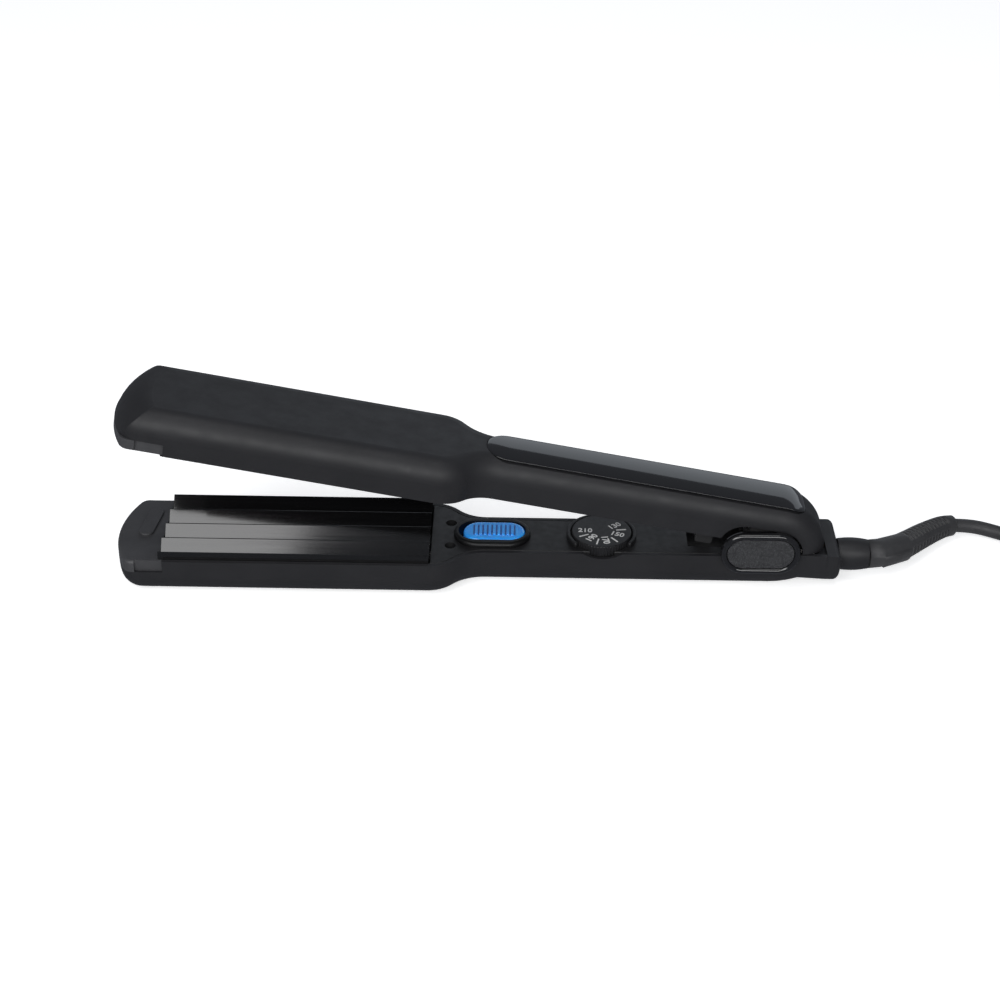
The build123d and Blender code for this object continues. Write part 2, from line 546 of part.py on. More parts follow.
def circuit_board():
    """Control board on four posts, with its larger components."""
    with BuildPart() as board:
        box_between((BOARD_FRONT, -9, BOARD_LOW), (BOARD_REAR, 9, BOARD_HIGH))
        fillet(board.edges().filter_by(Axis.Z), 1.0)
    save(board.part, "circuit_board")

    with BuildPart() as components:
        box_between((-82, 1.5, BOARD_HIGH), (-74, 6, BOARD_HIGH + 4))
        box_between((-80, -7, BOARD_HIGH), (-73, -3, BOARD_HIGH + 3.4))
        rod_along_z(BOARD_HIGH, BOARD_HIGH + 4.5, -40, -3, 3.0)
    save(components.part, "board_components")

    with BuildPart() as lamp:
        rod_along_z(BOARD_HIGH, BOARD_HIGH + 3.0, -87.3, 0, 1.5)
        fillet(lamp.edges().group_by(Axis.Z)[-1], 1.0)
    save(lamp.part, "indicator_lamp")


# ---- hinge ------------------------------------------------------------------------------------
def hinge_hardware():
    """Pin, nut, bushes and the torsion spring that opens the arms."""
    with BuildPart() as pin:
        rod_along_y(0.05 - HANDLE_HALF, HANDLE_HALF - 0.1, 0, HINGE_Z, PIN_RADIUS)
        rod_along_y(0.05 - HANDLE_HALF, 0.05 - HANDLE_HALF + 1.3, 0, HINGE_Z, HEAD_RADIUS)
        box_between((-2, -HANDLE_HALF - 1, HINGE_Z - 0.4),
                    (2, -HANDLE_HALF + 0.7, HINGE_Z + 0.4), Mode.SUBTRACT)
    save(pin.part, "hinge_pin")

    with BuildPart() as nut:
        with BuildSketch(Plane.XZ.offset(-(HANDLE_HALF - 0.1))):
            with Locations((0, HINGE_Z)):
                RegularPolygon(HEAD_RADIUS, 6)
                Circle(PIN_RADIUS + 0.02, mode=Mode.SUBTRACT)
        extrude(amount=1.3)
    save(nut.part, "hinge_nut")

    with BuildPart() as bushes:
        for side in (-1, 1):
            span = sorted((side * BARREL_IN, side * (BARREL_OUT + 0.1)))
            rod_along_y(*span, 0, HINGE_Z, BUSH_RADIUS)
        rod_along_y(-20, 20, 0, HINGE_Z, PIN_RADIUS + 0.05, Mode.SUBTRACT)
    save(bushes.part, "hinge_bushes", OPEN_ANGLE)

    with BuildPart() as coil:
        with BuildSketch(Plane.XY.offset(HINGE_Z)):
            with Locations(*((COIL_RADIUS, COIL_PITCH * row) for row in range(-2, 3))):
                Circle(WIRE_RADIUS)
        revolve(axis=Axis((0, 0, HINGE_Z), (0, 1, 0)))
        for side in (-1, 1):
            leg = sorted((HINGE_Z, HINGE_Z - side * 7))
            rod_along_z(*leg, side * COIL_RADIUS, side * 2 * COIL_PITCH, 0.66)
    save(coil.part, "hinge_spring")


def upper_hinge_block():
    """Knuckles of the upper arm on a base block, with the finger that enters the lower pocket."""
    with BuildPart() as knuckles:
        box_between((KNUCKLE_FRONT, -BARREL_OUT, 24.6), (8, BARREL_OUT, 27.6))
        box_between((KNUCKLE_FRONT + 0.5, -5, 12.0), (KNUCKLE_FRONT + 7, 5, 26))
        fillet(knuckles.edges().filter_by(Axis.Y).group_by(Axis.Z)[0], 1.0)
        for side in (-1, 1):
            near, far = sorted((side * BARREL_IN, side * BARREL_OUT))
            rod_along_y(near, far, 0, HINGE_Z, BARREL_RADIUS)
            box_between((-5, near, HINGE_Z), (5, far, 25))
            for post_x in (-18, 2):
                rod_along_z(27, UPPER_TOP - WALL - 1.1, post_x, side * 5, 2.4)
        rod_along_y(-20, 20, 0, HINGE_Z, BUSH_RADIUS + 0.02, Mode.SUBTRACT)
    save(knuckles.part, "upper_hinge_block", OPEN_ANGLE)


def hinge_badge(side, name):
    """Oval cap over one end of the hinge pin: a raised ring and the panel inside it."""
    foot = side * (HANDLE_HALF + 0.02)
    back, floor, rim = (side * depth for depth in (12.95, 13.7, 15.5))
    with BuildPart() as ring:
        with BuildSketch(Plane.XZ.offset(-back)):
            with Locations((0, HINGE_Z)):
                SlotOverall(BADGE_LONG, BADGE_HIGH)
        extrude(amount=back - rim)
        fillet(ring.edges().filter_by_position(Axis.Y, rim - 0.01, rim + 0.01), 0.9)
        with BuildSketch(Plane.XZ.offset(-rim)):
            with Locations((0, HINGE_Z)):
                SlotOverall(BADGE_LONG - 4.6, BADGE_HIGH - 4.6)
        extrude(amount=rim - floor, mode=Mode.SUBTRACT)
        with BuildSketch(Plane.XZ.offset(-foot)):
            with Locations((0, HINGE_Z)):
                SlotOverall(EAR_LONG - 1, EAR_HIGH - 1)
        extrude(amount=foot - back)
    save(ring.part, f"{name}_badge_ring")

    with BuildPart() as panel:
        with BuildSketch(Plane.XZ.offset(-floor - side * 0.02)):
            with Locations((0, HINGE_Z)):
                SlotOverall(BADGE_LONG - 4.9, BADGE_HIGH - 4.9)
        extrude(amount=-side * 1.0)
    save(panel.part, f"{name}_badge_panel")


# ---- upper arm: casing ------------------------------------------------------------------------
def inlay_outline(grow):
    """Plan of the gloss inlay, grown on every side."""
    with BuildSketch(mode=Mode.PRIVATE) as plan:
        with Locations(((INLAY_FRONT + INLAY_REAR) / 2, 0)):
            Rectangle(INLAY_REAR - INLAY_FRONT + 2 * grow, 2 * (INLAY_HALF + grow))
        fillet(plan.vertices().group_by(Axis.X)[0], 8.3 + grow)
        fillet(plan.vertices().group_by(Axis.X)[-1], 5.5 + grow)
    return plan.sketch


def skin(depth, outline):
    """The outer layer of the upper arm, depth thick, inside a plan outline."""
    with BuildPart(mode=Mode.PRIVATE) as layer:
        add(upper_slug())
        add(upper_slug(depth), mode=Mode.SUBTRACT)
        with BuildSketch(Plane.XY.offset(UPPER_FACE)):
            add(outline)
        extrude(amount=40, mode=Mode.INTERSECT)
    return layer.part


def upper_outer_shell():
    """Hollow casing with screw pillars, an oval cut-out round each hinge ear and the inlay's recess."""
    slope = tan(radians(OPEN_ANGLE))
    rim_start = HINGE_Z + (REAR_RIM + 0.3 - HINGE_Z) / cos(radians(OPEN_ANGLE))
    with BuildPart() as shell:
        add(upper_slug())
        add(upper_slug(WALL), mode=Mode.SUBTRACT)
        box_between((TIP_X - 5, -30, -5), (0, 30, UPPER_FACE), Mode.SUBTRACT)
        box_between((TIP_X - 5, -30, -5), (CAP_REAR, 30, UPPER_FACE + CAP_SKIRT), Mode.SUBTRACT)
        with BuildSketch(Plane.XZ):
            with BuildLine():
                rear = [(-1, rim_start - slope), (40, rim_start + 40 * slope), (40, -5), (-1, -5)]
                Polyline(*rear, close=True)
            make_face()
        extrude(amount=40, both=True, mode=Mode.SUBTRACT)
        with BuildSketch(Plane.XZ):
            with Locations((0, HINGE_Z)):
                SlotOverall(BADGE_LONG + 2.4, BADGE_HIGH + 1.6)
        extrude(amount=40, both=True, mode=Mode.SUBTRACT)
        add(skin(INLAY_DEPTH + 0.05, inlay_outline(0.1)), mode=Mode.SUBTRACT)
        for side in (-1, 1):
            pillar = UPPER_FACE + LOWER_FACE - WELL_LOW + 0.1
            rod_along_z(pillar, UPPER_TOP - WALL / 2, SCREW_X, side * SCREW_Y, 3.0)
            rod_along_z(pillar - 1, pillar + 7, SCREW_X, side * SCREW_Y, 0.95, Mode.SUBTRACT)
    save(shell.part, "upper_outer_shell", OPEN_ANGLE)


def gloss_inlay():
    """Gloss strip let into the top of the handle, following its curve."""
    save(skin(INLAY_DEPTH, inlay_outline(0)), "gloss_inlay", OPEN_ANGLE)


# ---- cord end of the lower arm ----------------------------------------------------------------
def rear_cord_block():
    """End block whose bore carries the cord swivel; its tongue plugs into the casing."""
    with BuildPart() as tongue:
        add(lower_slug(WALL + SEAM, SHELL_REAR + 4, 13.5))
        box_between((SHELL_REAR - 3, -30, -5), (SHELL_REAR + 1, 30, 40), Mode.INTERSECT)

    with BuildPart() as end:
        add(lower_slug(rear_x=BLOCK_REAR, top=REAR_RIM))
        box_between((TIP_X - 5, -30, -5), (SHELL_REAR + 0.1, 30, 40), Mode.SUBTRACT)
        fillet(end.faces().sort_by(Axis.X)[-1].edges(), 2.4)
        add(tongue.part)
        rod_along_x(SHELL_REAR - 4, FLANGE_REAR + 0.1, 0, SWIVEL_Z, FLANGE_RADIUS + 0.1, Mode.SUBTRACT)
        rod_along_x(0, 60, 0, SWIVEL_Z, JOURNAL_RADIUS + 0.05, Mode.SUBTRACT)
    save(end.part, "rear_cord_block")

    with BuildPart() as clip:
        rod_along_x(FLANGE_FRONT - 1.5, FLANGE_FRONT - 0.3, 0, SWIVEL_Z, 5.95)
        rod_along_x(0, 60, 0, SWIVEL_Z, 3.6, Mode.SUBTRACT)
    save(clip.part, "swivel_retainer")

    with BuildPart() as leads:
        for side in (-1, 1):
            with BuildLine():
                path = FilletPolyline(*[(x, side * y, z) for x, y, z in MAINS_LEADS], radius=2.0)
            with BuildSketch(Plane(origin=path @ 0, z_dir=path % 0)):
                Circle(0.9)
            sweep(path=path)
    save(leads.part, "mains_leads")


# ---- swivel, cord and plug --------------------------------------------------------------------
def swivel_sleeve():
    """Barrel-shaped sleeve behind the block, with its journal and retaining flange."""
    with BuildPart() as sleeve:
        with BuildSketch(Plane.XY.offset(SWIVEL_Z)):
            with BuildLine():
                barrel = ThreePointArc((SLEEVE_START, 5.8), (36.7, 6.2), (SLEEVE_END, 5.5))
                Polyline(barrel @ 1, (SLEEVE_END, CORD_RADIUS + 0.05), (FLANGE_FRONT, CORD_RADIUS + 0.05),
                         (FLANGE_FRONT, FLANGE_RADIUS), (FLANGE_REAR, FLANGE_RADIUS),
                         (FLANGE_REAR, JOURNAL_RADIUS), (SLEEVE_START, JOURNAL_RADIUS), barrel @ 0)
            make_face()
        revolve(axis=Axis((0, 0, SWIVEL_Z), (1, 0, 0)))
    save(sleeve.part, "swivel_sleeve")


def strain_relief_boot():
    """Tapered rubber boot that bends sideways and down to the floor; its stem fills the sleeve."""
    with BuildPart() as boot:
        with BuildLine():
            spine = Spline(*BOOT_ROUTE, tangents=[(1, 0, 0), (0.97, 0.14, -0.1)])
        for step, radius in enumerate(BOOT_RADII):
            place = step / (len(BOOT_RADII) - 1)
            with BuildSketch(Plane(origin=spine @ place, z_dir=spine % place)):
                Circle(radius)
        loft()
        rod_along_x(FLANGE_FRONT, SLEEVE_END, 0, SWIVEL_Z, CORD_RADIUS)
    save(boot.part, "strain_relief_boot")


def cord_tube(route, name):
    """One stretch of the cord: straight runs joined by arcs as large as the runs allow."""
    points = [Vector(*point) for point in route]
    runs = [end - start for start, end in zip(points, points[1:])]
    radii = []
    for before, after in zip(runs, runs[1:]):
        half_turn = radians(before.get_angle(after)) / 2
        radii.append(0.45 * min(before.length, after.length) / tan(half_turn))
    with BuildPart() as tube:
        with BuildLine():
            path = FilletPolyline(*points, radius=radii)
        with BuildSketch(Plane(origin=path @ 0, z_dir=path % 0)):
            Circle(CORD_RADIUS)
        sweep(path=path)
    ideal = pi * CORD_RADIUS ** 2 * path.length
    print(f"{name}: radii {[round(r, 1) for r in radii]}, length {path.length:.1f},",
          f"volume over section x length {tube.part.volume / ideal:.4f}")
    save(tube.part, name)


def cord_hank():
    """Outer shape of the folded cord, drawn in at its middle, and the tie round it."""
    middle = (HANK_NEAR + HANK_FAR) / 2
    with BuildPart() as hank:
        with BuildSketch(Plane.XY.offset(HANK_LOW)):
            with Locations((HANK_NEAR, HANK_Y), (HANK_FAR, HANK_Y)):
                Circle(HANK_LOOP)
            with BuildLine():
                grip = TIE_HALF + 0.4
                side = [(HANK_NEAR, HANK_LOOP), (middle - grip, HANK_WAIST),
                        (middle + grip, HANK_WAIST), (HANK_FAR, HANK_LOOP)]
                both = [(x, HANK_Y + y) for x, y in side] + [(x, HANK_Y - y) for x, y in side[::-1]]
                Polyline(*both, close=True)
            make_face()
        extrude(amount=HANK_HIGH - HANK_LOW)
        box_between((middle - TIE_HALF - 0.2, HANK_Y - 40, -1), (middle + TIE_HALF + 0.2, HANK_Y + 40, 1.1),
                    Mode.SUBTRACT)
    save(hank.part, "cord_hank")

    with BuildPart() as tie:
        with BuildSketch(Plane.YZ.offset(middle - TIE_HALF)):
            with Locations((HANK_Y, (TIE_LOW + TIE_HIGH) / 2)):
                RectangleRounded(2 * HANK_WAIST + 3.4, TIE_HIGH - TIE_LOW, 1.8)
                RectangleRounded(2 * HANK_WAIST + 1.6, TIE_HIGH - TIE_LOW - 1.8, 0.8, mode=Mode.SUBTRACT)
        extrude(amount=2 * TIE_HALF)
    save(tie.part, "cord_tie")


def plug():
    """Flat two-pin mains plug with its own strain relief."""
    sections = [(PLUG_BACK, 12.5, 11.0, 5.0), (PLUG_BACK + 12, 17.0, 13.0, 5.5),
                (PLUG_FACE - 12, 31.0, 13.7, 5.5), (PLUG_FACE, 35.3, 13.7, 5.5)]
    with BuildPart() as body:
        for x, wide, high, corner in sections:
            with BuildSketch(Plane(origin=(x, HANK_Y, PLUG_Z), x_dir=(0, 1, 0), z_dir=(1, 0, 0))):
                RectangleRounded(wide, high, corner)
        loft(ruled=True)
        fillet(body.faces().sort_by(Axis.X)[-1].edges(), 0.8)
    save(body.part, "plug_body")

    with BuildPart() as relief:
        with BuildSketch(Plane(origin=(PLUG_BACK, HANK_Y, PLUG_Z), z_dir=(-1, 0, 0))):
            Circle(4.6)
        with BuildSketch(Plane(origin=(TAIL_ROUTE[-1][0], HANK_Y, PLUG_Z), z_dir=(-1, 0, 0))):
            Circle(3.3)
        loft()
    save(relief.part, "plug_strain_relief")

    with BuildPart() as pins:
        for side in (-1, 1):
            y = HANK_Y + side * PIN_PITCH / 2
            rod_along_x(PLUG_FACE, PLUG_FACE + PIN_LONG, y, PLUG_Z, PLUG_PIN_RADIUS)
        fillet(pins.edges().group_by(Axis.X)[-1], 1.2)
    save(pins.part, "plug_pins")


# ---- the whole iron ---------------------------------------------------------------------------
lower_outer_shell()
inner_cover(LOWER_FACE, -1, "lower_inner_cover", 0)
tip_cap(LOWER_FACE, -1, TIP_X, "lower_tip_cap", 0)
tip_pad(LOWER_FACE, -1, "lower_tip_pad", 0)
cover_screws(LOWER_FACE, -1, "lower_cover_screws", 0)
zigzag_plate(0, -1, "lower_plate", 0)
plate_carrier(LOWER_FACE, -1, "lower_plate_carrier", 0)
heater_stack(LOWER_FACE, -1, LOWER_FACE - VALLEY + PLATE_WALL, "lower", 0)
switch_bezel()
dial_guard()
power_button()
power_switch()
temperature_dial()
potentiometer()
circuit_board()
rear_cord_block()

upper_outer_shell()
gloss_inlay()
inner_cover(UPPER_FACE, 1, "upper_inner_cover", OPEN_ANGLE)
tip_cap(UPPER_FACE, 1, UPPER_TIP, "upper_tip_cap", OPEN_ANGLE)
cover_screws(UPPER_FACE, 1, "upper_cover_screws", OPEN_ANGLE)
zigzag_plate(UPPER_LIFT, 1, "upper_plate", OPEN_ANGLE)
plate_carrier(UPPER_FACE, 1, "upper_plate_carrier", OPEN_ANGLE)
heater_stack(UPPER_FACE, 1, PEAK + UPPER_LIFT + PLATE_WALL - UPPER_FACE, "upper", OPEN_ANGLE)
upper_hinge_block()

hinge_hardware()
hinge_badge(-1, "near")
hinge_badge(1, "far")

swivel_sleeve()
strain_relief_boot()
cord_tube(CORD_ROUTE, "power_cord")
cord_hank()
cord_tube(TAIL_ROUTE, "power_cord_tail")
plug()
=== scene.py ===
import json
from math import cos, radians, sin

import bmesh
import bpy
from mathutils import Matrix, Vector


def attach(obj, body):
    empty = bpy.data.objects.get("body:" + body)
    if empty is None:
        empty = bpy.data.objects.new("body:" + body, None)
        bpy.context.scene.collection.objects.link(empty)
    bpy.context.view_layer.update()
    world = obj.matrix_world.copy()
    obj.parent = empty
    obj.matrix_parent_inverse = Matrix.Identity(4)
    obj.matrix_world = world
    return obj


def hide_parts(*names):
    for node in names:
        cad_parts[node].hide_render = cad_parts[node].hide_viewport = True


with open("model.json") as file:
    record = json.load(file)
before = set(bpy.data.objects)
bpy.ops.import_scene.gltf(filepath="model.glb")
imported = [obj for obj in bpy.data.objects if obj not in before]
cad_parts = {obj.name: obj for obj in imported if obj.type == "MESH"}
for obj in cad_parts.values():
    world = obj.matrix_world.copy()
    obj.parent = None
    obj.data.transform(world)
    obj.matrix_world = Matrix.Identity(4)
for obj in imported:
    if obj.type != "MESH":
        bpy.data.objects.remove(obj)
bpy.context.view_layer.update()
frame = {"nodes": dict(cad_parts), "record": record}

MM = 0.001


# ---- camera -----------------------------------------------------------------------------------
def camera():
    """A long lens, level with the near side of the iron and looking down on it."""
    azimuth, elevation, roll = radians(-0.40), radians(31.81), radians(0.68)
    ahead = Vector((sin(azimuth) * cos(elevation), cos(azimuth) * cos(elevation), -sin(elevation)))
    right = Vector((cos(azimuth), -sin(azimuth), 0))
    up = right.cross(ahead)
    turned = cos(roll) * right + sin(roll) * up
    raised = cos(roll) * up - sin(roll) * right
    data = bpy.data.cameras.new("camera")
    data.sensor_width = 36
    data.lens = 68.70
    data.clip_start, data.clip_end = 0.05, 50
    eye = bpy.data.objects.new("camera", data)
    turn = Matrix((turned, raised, -ahead)).transposed().to_4x4()
    eye.matrix_world = Matrix.Translation((-0.09275, -0.60617, 0.40588)) @ turn
    bpy.context.scene.collection.objects.link(eye)
    bpy.context.scene.camera = eye


# ---- shader helpers ---------------------------------------------------------------------------
class Shader:
    """A Principled material with a few short ways to add procedural detail to it."""

    def __init__(self, name, color, roughness, **values):
        self.material = bpy.data.materials.new(name)
        self.material.use_nodes = True
        self.tree = self.material.node_tree
        self.surface = self.tree.nodes["Principled BSDF"]
        self.surface.inputs["Base Color"].default_value = (*color, 1)
        self.surface.inputs["Roughness"].default_value = roughness
        for key, value in values.items():
            self.surface.inputs[key.replace("_", " ")].default_value = value
        self.place = self.node("ShaderNodeTexCoord").outputs["Object"]

    def node(self, kind, **settings):
        made = self.tree.nodes.new(kind)
        for key, value in settings.items():
            setattr(made, key, value)
        return made

    def link(self, start, end):
        self.tree.links.new(start, end)

    def stretched(self, scale):
        mapping = self.node("ShaderNodeMapping")
        mapping.inputs["Scale"].default_value = scale
        self.link(self.place, mapping.inputs["Vector"])
        return mapping.outputs["Vector"]

    def noise(self, scale, detail=2.0, rough=0.5, stretch=None):
        texture = self.node("ShaderNodeTexNoise")
        texture.inputs["Scale"].default_value = scale
        texture.inputs["Detail"].default_value = detail
        texture.inputs["Roughness"].default_value = rough
        self.link(self.stretched(stretch) if stretch else self.place, texture.inputs["Vector"])
        return texture.outputs["Fac"]

    def cells(self, scale):
        texture = self.node("ShaderNodeTexVoronoi")
        texture.inputs["Scale"].default_value = scale
        self.link(self.place, texture.inputs["Vector"])
        return texture.outputs["Distance"]

    def remap(self, value, low, high, start=0.3, end=0.7):
        ranged = self.node("ShaderNodeMapRange")
        for key, number in (("From Min", start), ("From Max", end), ("To Min", low), ("To Max", high)):
            ranged.inputs[key].default_value = number
        self.link(value, ranged.inputs["Value"])
        return ranged.outputs["Result"]

    def color(self, value, low, high, start=0.3, end=0.7):
        ramp = self.node("ShaderNodeValToRGB")
        ramp.color_ramp.elements[0].position = start
        ramp.color_ramp.elements[0].color = (*low, 1)
        ramp.color_ramp.elements[1].position = end
        ramp.color_ramp.elements[1].color = (*high, 1)
        self.link(value, ramp.inputs["Fac"])
        self.link(ramp.outputs["Color"], self.surface.inputs["Base Color"])

    def roughness(self, value, low, high, start=0.3, end=0.7):
        self.link(self.remap(value, low, high, start, end), self.surface.inputs["Roughness"])

    def bump(self, value, distance, strength=1.0):
        bump = self.node("ShaderNodeBump")
        bump.inputs["Distance"].default_value = distance
        bump.inputs["Strength"].default_value = strength
        self.link(value, bump.inputs["Height"])
        if self.surface.inputs["Normal"].is_linked:
            self.link(self.surface.inputs["Normal"].links[0].from_socket, bump.inputs["Normal"])
        self.link(bump.outputs["Normal"], self.surface.inputs["Normal"])


# ---- materials --------------------------------------------------------------------------------
def soft_touch():
    """Rubbery matt lacquer over the casings: fine orange peel and faint handling marks."""
    s = Shader("soft_touch_casing", (0.011, 0.011, 0.012), 0.5, Specular_IOR_Level=0.36)
    cloud = s.noise(45, 3)
    s.color(cloud, (0.0098, 0.0098, 0.0112), (0.0125, 0.0125, 0.0143))
    s.roughness(s.noise(140, 4, 0.6), 0.47, 0.6)
    s.bump(s.noise(5200, 2), 0.00002, 0.5)
    s.bump(s.noise(900, 2), 0.00002, 0.35)
    return s.material


def moulded_inner():
    """Spark-eroded black plastic of the inner covers and trims."""
    s = Shader("moulded_inner_plastic", (0.012, 0.012, 0.013), 0.5, Specular_IOR_Level=0.5)
    s.color(s.noise(60, 3), (0.0068, 0.0068, 0.0075), (0.0095, 0.0095, 0.0105))
    s.roughness(s.noise(400, 3), 0.42, 0.56)
    s.bump(s.cells(3800), 0.00002, 0.5)
    return s.material


def gloss_black():
    """Polished black with the faint waviness and dust of a moulded gloss part."""
    s = Shader("polished_black", (0.006, 0.006, 0.007), 0.06, Coat_Weight=0.3, Coat_Roughness=0.03)
    s.roughness(s.noise(260, 5, 0.7), 0.04, 0.09)
    s.bump(s.noise(90, 1), 0.00003, 0.12)
    return s.material


def plate_coating():
    """Black non-stick glaze on drawn aluminium, with lengthwise draw lines."""
    s = Shader("glazed_plate", (0.003, 0.003, 0.0033), 0.12, Coat_Weight=0.4, Coat_Roughness=0.08)
    draw = s.noise(1.0, 4, 0.6, stretch=(18, 1500, 1500))
    s.roughness(draw, 0.08, 0.14)
    s.bump(draw, 0.00001, 0.25)
    s.bump(s.noise(420, 2), 0.00002, 0.08)
    return s.material


def speckled_panel():
    """Dark panel with metallic speckles under lacquer."""
    s = Shader("speckled_panel", (0.012, 0.012, 0.013), 0.35, Coat_Weight=0.25, Coat_Roughness=0.15)
    flakes = s.cells(3600)
    s.color(flakes, (0.13, 0.133, 0.14), (0.014, 0.014, 0.015), 0.1, 0.42)
    s.bump(flakes, 0.00003, 0.5)
    return s.material


def dial_plastic():
    s = Shader("dial_plastic", (0.009, 0.009, 0.010), 0.42, Specular_IOR_Level=0.45)
    s.color(s.noise(150, 3), (0.008, 0.008, 0.009), (0.012, 0.012, 0.013))
    s.roughness(s.noise(600, 3), 0.34, 0.5)
    s.bump(s.noise(4200, 2), 0.00002, 0.4)
    return s.material


def blue_button():
    """Tinted see-through plastic, lit a little from inside."""
    s = Shader("translucent_blue", (0.03, 0.19, 0.52), 0.2, Subsurface_Weight=0.3,
               Subsurface_Scale=0.002, Coat_Weight=0.6, Coat_Roughness=0.08,
               Emission_Color=(0.015, 0.11, 0.34, 1), Emission_Strength=0.45)
    s.color(s.noise(260, 2), (0.022, 0.25, 0.68), (0.035, 0.32, 0.78))
    s.roughness(s.noise(900, 3), 0.15, 0.28)
    s.bump(s.noise(1500, 2), 0.00002, 0.2)
    return s.material


def rubber(name, color, grain):
    """Matt PVC or rubber of the cord, boot and plug."""
    s = Shader(name, color, 0.55, Specular_IOR_Level=0.4, Sheen_Weight=0.05)
    dark = tuple(0.8 * part for part in color)
    light = tuple(1.25 * part for part in color)
    s.color(s.noise(70, 3), dark, light)
    s.roughness(s.noise(500, 3), 0.45, 0.62)
    s.bump(s.noise(grain, 2), 0.00003, 0.5)
    return s.material


def metal(name, color, rough, stretch=(120, 120, 120)):
    """Plain worked metal with fine brushing."""
    s = Shader(name, color, rough, Metallic=1.0)
    brush = s.noise(6, 4, 0.6, stretch=stretch)
    s.roughness(brush, 0.75 * rough, 1.35 * rough)
    s.color(s.noise(50, 3), tuple(0.85 * part for part in color), color)
    s.bump(brush, 0.00001, 0.4)
    return s.material


def plain(name, color, rough, grain, **values):
    """Inner pieces: a base colour that drifts a little, over a fine grain."""
    s = Shader(name, color, rough, **values)
    s.color(s.noise(90, 3), tuple(0.75 * part for part in color), color)
    s.roughness(s.noise(300, 3), 0.85 * rough, min(1.0, 1.2 * rough))
    s.bump(s.noise(grain, 3), 0.00003, 0.5)
    return s.material


def printed_white():
    s = Shader("printed_white", (0.75, 0.75, 0.74), 0.5)
    s.color(s.noise(2500, 3), (0.6, 0.6, 0.6), (0.8, 0.8, 0.79))
    s.bump(s.noise(5000, 2), 0.00001, 0.5)
    return s.material


LOOKS = {
    "casing": soft_touch(),
    "inner": moulded_inner(),
    # tip caps and pad: base colour raised well above the casing's to stand in for light from the upper
    # left (painted light)
    "cap": plain("matt_cap_painted_light", (0.04, 0.04, 0.0432), 0.5, 3800, Specular_IOR_Level=0.45),
    "dark_trim": plain("dark_trim", (0.004, 0.004, 0.0045), 0.42, 3800, Specular_IOR_Level=0.3),
    # light grey line round the near hinge cap's panel: painted highlight
    "highlight_line": plain("highlight_line", (0.16, 0.165, 0.17), 0.3, 3000, Specular_IOR_Level=0.5),
    "gloss": gloss_black(),
    "plate": plate_coating(),
    "badge_panel": speckled_panel(),
    "dial": dial_plastic(),
    "button": blue_button(),
    "cord_rubber": rubber("cord_rubber", (0.024, 0.024, 0.0257), 2600),
    "plug_rubber": rubber("plug_rubber", (0.015, 0.015, 0.0165), 1900),
    "tie": rubber("tie_strap", (0.018, 0.018, 0.019), 1300),
    "steel": metal("plain_steel", (0.5, 0.5, 0.5), 0.3),
    "screw": metal("black_zinc", (0.06, 0.06, 0.065), 0.38),
    "pin_metal": metal("nickel", (0.68, 0.66, 0.62), 0.18, stretch=(30, 400, 400)),
    "bush": metal("sintered_bronze", (0.55, 0.36, 0.14), 0.42),
    "ceramic": plain("alumina", (0.75, 0.72, 0.66), 0.6, 3000),
    "mica": plain("mica", (0.4, 0.34, 0.24), 0.35, 900),
    "carrier": plain("glass_filled_plastic", (0.02, 0.02, 0.021), 0.6, 2200),
    "lead_wire": plain("silicone_lead", (0.6, 0.59, 0.56), 0.5, 2400),
    "board": plain("solder_mask", (0.02, 0.12, 0.045), 0.35, 1500),
    "component": plain("moulded_component", (0.015, 0.015, 0.015), 0.45, 2600),
    "lamp": plain("lamp_lens", (0.08, 0.2, 0.6), 0.15, 500, Transmission_Weight=0.6),
    "print": printed_white(),
    # darker blue for the slabs in the slide button's grooves: painted shade
    "groove_shade_blue": plain("groove_shade_blue", (0.014, 0.12, 0.4), 0.3, 1500),
}
# nodes that don't wear the look of their slot
LOOK_OF = {
    "lower_inner_cover": "inner",
    "upper_inner_cover": "inner",
    "dial_guard": "inner",
    "switch_bezel": "dark_trim",
    # the tip caps and the tip pad take the lightened cap colour: painted light
    "lower_tip_cap": "cap",
    "upper_tip_cap": "cap",
    "lower_tip_pad": "cap",
}


def dress_cad_nodes():
    """Gives every CAD node its material."""
    slots = {part["node"]: part["material_slot"] for part in frame["record"]["subparts"]}
    for name, piece in frame["nodes"].items():
        piece.data.materials.clear()
        piece.data.materials.append(LOOKS[LOOK_OF.get(name, slots[name])])


# ---- curves and meshes ------------------------------------------------------------------------
def nurbs(name, points, radius):
    """One smooth round cord through its control points."""
    data = bpy.data.curves.new(name, "CURVE")
    data.dimensions = "3D"
    data.bevel_depth = radius
    data.bevel_resolution = 6
    data.resolution_u = 8
    data.use_fill_caps = True
    spline = data.splines.new("NURBS")
    spline.points.add(len(points) - 1)
    for target, point in zip(spline.points, points):
        target.co = (*point, 1)
    spline.order_u = 3
    spline.use_endpoint_u = True
    piece = bpy.data.objects.new(name, data)
    bpy.context.scene.collection.objects.link(piece)
    return piece


# ---- cord -------------------------------------------------------------------------------------
CORD_RADIUS = 2.7 * MM
ENTRY = [(80.4, 26.2, 5.2), (87.0, 27.2, 4.6), (95.0, 25.4, 3.7), (107.0, 19.6, 2.9),
         (122.0, 17.6, 2.9)]
EXIT = [(144.0, 15.2, 20.2), (154.0, 10.5, 23.6), (163.0, 3.0, 26.8), (172.0, -4.2, 28.6),
        (181.0, -6.0, 28.95)]
NEAR, FAR, MIDDLE_Y = 136.3, 233.7, -6.0
OUTER_LOOP, OUTER_WAIST, PITCH = 22.95, 8.18, 5.45
FLOOR_Z, TIE_LIFT, TIE_REACH = 2.9, 1.1, 7.0
LEAVE = 18.0                 # the loops meet the straight runs this many degrees past square
# columns (0 outer, 1 inner) and layers that the turns fill, one after another
SLOTS = [(0, 0), (1, 0), (1, 1), (0, 1), (0, 2), (1, 2), (1, 3), (0, 3)]


